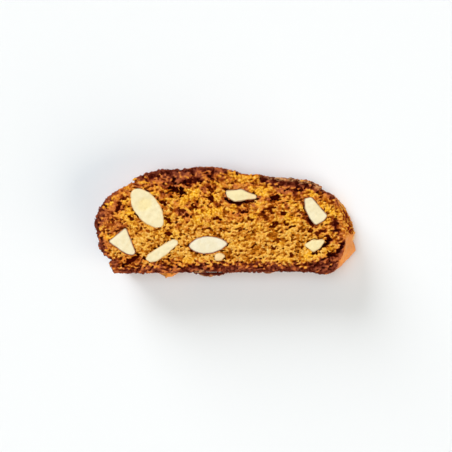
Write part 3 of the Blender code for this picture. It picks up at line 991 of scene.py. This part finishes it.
for name, nut in nuts.items():
    nut_spots, _ = corners_and_faces(nut.data)
    side = wall_tree(name, RIM_LEAN)
    rim = np.array([depth_under(side, Vector(spot)) for spot in nut_spots]) + FULLER[name]
    tint = np.full(len(nut_spots), IVORY.get(name, PLAIN_IVORY))
    if name == "almond_half_left":
        tint = tint - LENS_YELLOW * in_lens(nut_spots[:, 0], nut_spots[:, 1])
    tan_share = np.full(len(nut_spots), float(name == "almond_nib_middle"))
    if name == "almond_skinned_top":
        tan_share = TIP_TAN * ramp(from_left(nut_spots[:, 0]), *TAN_TIP)
    paint(nut.data, "rim", rim)
    paint(nut.data, "ivory", tint)
    paint(nut.data, "tan", tan_share)
    paint(nut.data, "skinned", np.full(len(nut_spots), float(name in SKINNED_NUTS)))
print("almonds with a brown skin:", len(SKINNED_NUTS))

# %% [markdown]
# ## Colours and nodes
# Blender mixes colours as amounts of light, while colours are easier to name as a screen shows
# them. A small function turns one into the other. Nodes could be placed and linked by hand, but a
# few helpers keep the materials short and show how they depend on each other.

# %% Helpers for materials
def seen(red, green, blue):
    """A colour as a screen shows it, from 0 to 255, as amounts of light."""
    parts = (c / 255 for c in (red, green, blue))
    return tuple(((p + 0.055) / 1.055) ** 2.4 if p > 0.04 else p / 12.92 for p in parts) + (1.0,)


def add_node(tree, kind, sockets=(), **settings):
    """A node with its settings. Each socket, by name or number, gets a value or a link."""
    made = tree.nodes.new(kind)
    for key, value in settings.items():
        setattr(made, key, value)
    for key, given in dict(sockets).items():
        if isinstance(given, bpy.types.NodeSocket):
            tree.links.new(given, made.inputs[key])
        else:
            made.inputs[key].default_value = given
    return made


def calculated(tree, operation, first, second):
    """Two values put together."""
    return add_node(tree, "ShaderNodeMath", {0: first, 1: second}, operation=operation).outputs[0]


def spread(tree, value, start, end, low=0.0, high=1.0):
    """A value spread anew: start becomes low and end becomes high, and it stops there."""
    sockets = {"Value": value, "From Min": start, "From Max": end, "To Min": low, "To Max": high}
    return add_node(tree, "ShaderNodeMapRange", sockets).outputs[0]


def blend(tree, share, first, second):
    """Two colours mixed: all of the first where the share is 0, all of the second where it is 1."""
    sockets = {"Factor": share, 6: first, 7: second}
    return add_node(tree, "ShaderNodeMix", sockets, data_type="RGBA").outputs[2]


def mask(tree, name):
    """One of the numbers that the mesh keeps for each corner."""
    return add_node(tree, "ShaderNodeAttribute", attribute_name=name).outputs["Fac"]


def colour_steps(tree, value, steps, colours):
    """The colour for a value, blended from the colours of the two nearest steps."""
    made = add_node(tree, "ShaderNodeValToRGB", {0: value})
    elements = made.color_ramp.elements
    while len(elements) < len(steps):
        elements.new(0.5)
    for element, step, colour in zip(elements, steps, colours):
        element.position = step
        element.color = seen(*colour)
    return made.outputs[0]


def start_group(name, inputs, outputs):
    """An empty node group with its sockets: names with their kinds and starting values."""
    group = bpy.data.node_groups.new(name, "ShaderNodeTree")
    for label, kind, value in inputs:
        socket = group.interface.new_socket(label, in_out="INPUT", socket_type=kind)
        socket.default_value = value
    for label, kind in outputs:
        group.interface.new_socket(label, in_out="OUTPUT", socket_type=kind)
    return group, group.nodes.new("NodeGroupInput"), group.nodes.new("NodeGroupOutput")

print(f"mid grey is {seen(128, 128, 128)[0]:.2f} of white light")

# %% [markdown]
# ## Fine grain, for every finish
# Crumb, crust and almonds all have detail finer than their meshes. A still finer mesh would be
# too heavy, so a group of nodes makes it: soft blotches that shift the colour, and a grit for the
# bump. Each material sets its own sizes.

# %% The grain group
grain_group, grain_in, grain_out = start_group(
    "fine_grain",
    (("Blotch Size", "NodeSocketFloat", 1.0), ("Grit Size", "NodeSocketFloat", 0.3)),
    (("Blotch", "NodeSocketFloat"), ("Grit", "NodeSocketFloat")),
)
PER_METRE = 1000.0  # sizes are given in millimetres
surface_place = add_node(grain_group, "ShaderNodeTexCoord").outputs["Object"]
for label, seed, detail in (("Blotch", 3.1, 2.0), ("Grit", 7.7, 3.0)):
    scale = calculated(grain_group, "DIVIDE", PER_METRE, grain_in.outputs[label + " Size"])
    sockets = {"Vector": surface_place, "W": seed, "Scale": scale, "Detail": detail}
    noise = add_node(grain_group, "ShaderNodeTexNoise", sockets, noise_dimensions="4D")
    grain_group.links.new(noise.outputs["Fac"], grain_out.inputs[label])
print("group:", grain_group.name)

# %% [markdown]
# ## The browning group
# Browning turns dough gold, amber, red brown and nearly black, and pores look darker and redder
# than what stands out, because the light in them has bounced off dough many times. One brown
# dimmed by shadows stays too grey, so the group holds three rows of colours: for raised crumb,
# for half way down and for the bottom of a pore. It blends them by depth, so the two lower rows
# are painted shade of the pores over the dough's own browning. The grit's low places get the
# same painted shade, and its high tips a pale painted highlight.

# %% Colours of baked dough
BROWNING_STEPS = (0.0, 0.3, 0.58, 0.8, 1.0)
RAISED = ((238, 180, 74), (227, 138, 43), (198, 110, 56), (160, 82, 48), (122, 57, 37))
# The two lower rows are browned dough with painted pore shade in them.
HALF_WAY = ((198, 116, 16), (173, 85, 11), (140, 56, 13), (106, 35, 12), (82, 22, 8))
IN_PORES = ((118, 27, 0), (106, 20, 0), (88, 12, 1), (72, 6, 2), (60, 4, 2))
GOLD = (252, 184, 38)
TIP_HIGHLIGHT = (255, 220, 140)  # painted highlight on the crumb's raised tips
PALE_TAN_AND_SHEEN = (222, 166, 108)  # pale tan where the crust is thin and dull, and painted sheen along the top rim
print("steps of browning:", len(BROWNING_STEPS))

# %% The browning group
TOAST_SHIFT = 0.09  # the blotches brown or lighten by this much
GRIT_DEPTH = 0.75  # the grit raises or sinks the surface by this much, as the colours see it, so its low places get painted shade
HALF_WAY_DEPTHS, PORE_DEPTHS = (0.05, 0.7), (0.7, 1.8)  # in millimetres: where the half-way and the pore colours, both with painted shade, set in and are full

BROWNING_INPUTS = {"Toast": 0.0, "Gold": 0.0, "Pore": 0.0, "Blotch": 0.5, "Grit": 0.5, "Pale": 0.0}

browning_group, brown_in, brown_out = start_group(
    "browning",
    [(label, "NodeSocketFloat", start) for label, start in BROWNING_INPUTS.items()],
    (("Color", "NodeSocketColor"),),
)
g, entry = browning_group, brown_in.outputs
shift = spread(g, entry["Blotch"], 0.0, 1.0, -TOAST_SHIFT, TOAST_SHIFT)
total = calculated(g, "ADD", entry["Toast"], shift)
raised, half_way, in_pores = (
    colour_steps(g, total, BROWNING_STEPS, colours) for colours in (RAISED, HALF_WAY, IN_PORES)
)
gilded = blend(g, entry["Gold"], raised, seen(*GOLD))
# the pale tan of thin skin, and the painted sheen of the top rim
with_pale_and_sheen = blend(g, entry["Pale"], gilded, seen(*PALE_TAN_AND_SHEEN))
# Painted highlight: the grit's high tips turn pale, less so on browned crumb.
tips = spread(g, entry["Grit"], 0.52, 0.7, 0.0, 0.6)
highlighted_tips = calculated(g, "MULTIPLY", tips, spread(g, total, 0.0, 0.6, 1.0, 0.0))
with_tip_highlights = blend(g, highlighted_tips, with_pale_and_sheen, seen(*TIP_HIGHLIGHT))
# Painted shade in the grit's low places and in the pores, by depth.
pits = spread(g, entry["Grit"], 0.2, 0.8, GRIT_DEPTH, -GRIT_DEPTH)
depth = calculated(g, "ADD", entry["Pore"], pits)
sunken = blend(g, spread(g, depth, *HALF_WAY_DEPTHS), with_tip_highlights, half_way)
by_depth = blend(g, spread(g, depth, *PORE_DEPTHS), sunken, in_pores)
g.links.new(by_depth, brown_out.inputs["Color"])
print("group:", g.name)

# %% [markdown]
# ## Crumb and crust
# Crust is only crumb that is more toasted, so one material dresses the whole slice; two would
# meet in a hard line. It reads the masks from the mesh, adds the blotches, and roughens the
# surface with grit. The skin is a little less rough than the torn crumb.

# %% The baked finish
baked, baked_shader = surface_shader("baked_dough", (0.6, 0.3, 0.06), 0.85)
tree = baked.node_tree
sizes = {"Blotch Size": 1.6, "Grit Size": 0.8}
grain_node = add_node(tree, "ShaderNodeGroup", sizes, node_tree=grain_group)
skin = mask(tree, "skin")
calm = spread(tree, skin, 0.0, 1.0, 0.0, 0.8)
grit = add_node(tree, "ShaderNodeMix", {"Factor": calm, 2: grain_node.outputs["Grit"], 3: 0.5}).outputs[0]
inputs = {label: mask(tree, label.lower()) for label in ("Toast", "Gold", "Pore", "Pale")}
inputs |= {"Blotch": grain_node.outputs["Blotch"], "Grit": grit}
browned = add_node(tree, "ShaderNodeGroup", inputs, node_tree=browning_group)
grit_bump = add_node(tree, "ShaderNodeBump", {"Strength": 0.8, "Distance": 0.0004, "Height": grit})
tree.links.new(browned.outputs["Color"], baked_shader.inputs["Base Color"])
tree.links.new(grit_bump.outputs[0], baked_shader.inputs["Normal"])
tree.links.new(spread(tree, skin, 0.0, 1.0, 0.9, 0.6), baked_shader.inputs["Roughness"])
baked_shader.inputs["Specular IOR Level"].default_value = 0.03
body.data.materials.append(baked)
print("baked dough:", len(tree.nodes), "nodes")

# %% [markdown]
# ## Almond flesh
# Cut almonds are cream to ivory and darker along the rim. Where an almond has its brown skin,
# the skin stains the rim; on a bare almond the darker rim is painted shade of the gap beside the
# crumb. The darkening could be a thin ring of mesh, but it fades inwards, so it follows the rim
# mask. The cut is satin, with faint specks.

# %% The almond finish
CREAM, WHITER = (246, 220, 138), (238, 226, 196)
TAN = (244, 208, 150)
SPECK = (226, 206, 150)
# A bare almond's rim colour is painted shade of the gap; a skinned almond's rim is stained by its skin.
SHADED_BARE_RIM, SKIN_STAIN = (206, 160, 96), (134, 74, 38)
RIM_DARK_WIDTH = (0.1, 0.6)  # from the rim, in millimetres

flesh, flesh_shader = surface_shader("almond_flesh", (0.87, 0.76, 0.42), 0.5)
tree = flesh.node_tree
sizes = {"Blotch Size": 2.4, "Grit Size": 0.5}
grain_node = add_node(tree, "ShaderNodeGroup", sizes, node_tree=grain_group)
cream = blend(tree, mask(tree, "ivory"), seen(*CREAM), seen(*WHITER))
tanned = blend(tree, mask(tree, "tan"), cream, seen(*TAN))
specks = spread(tree, grain_node.outputs["Blotch"], 0.35, 0.75, 0.0, 0.45)
specked = blend(tree, specks, tanned, seen(*SPECK))
# painted shade on bare rims, skin stains on skinned ones
rim_stain_and_shade = blend(tree, mask(tree, "skinned"), seen(*SHADED_BARE_RIM), seen(*SKIN_STAIN))
at_rim = spread(tree, mask(tree, "rim"), *RIM_DARK_WIDTH, 0.8, 0.0)
satin = {"Strength": 0.25, "Distance": 0.0002, "Height": grain_node.outputs["Grit"]}
nut_bump = add_node(tree, "ShaderNodeBump", satin)
tree.links.new(blend(tree, at_rim, specked, rim_stain_and_shade), flesh_shader.inputs["Base Color"])
tree.links.new(nut_bump.outputs[0], flesh_shader.inputs["Normal"])
for nut in nuts.values():
    nut.data.materials.append(flesh)
print("almond flesh:", len(tree.nodes), "nodes on", len(nuts), "almonds")
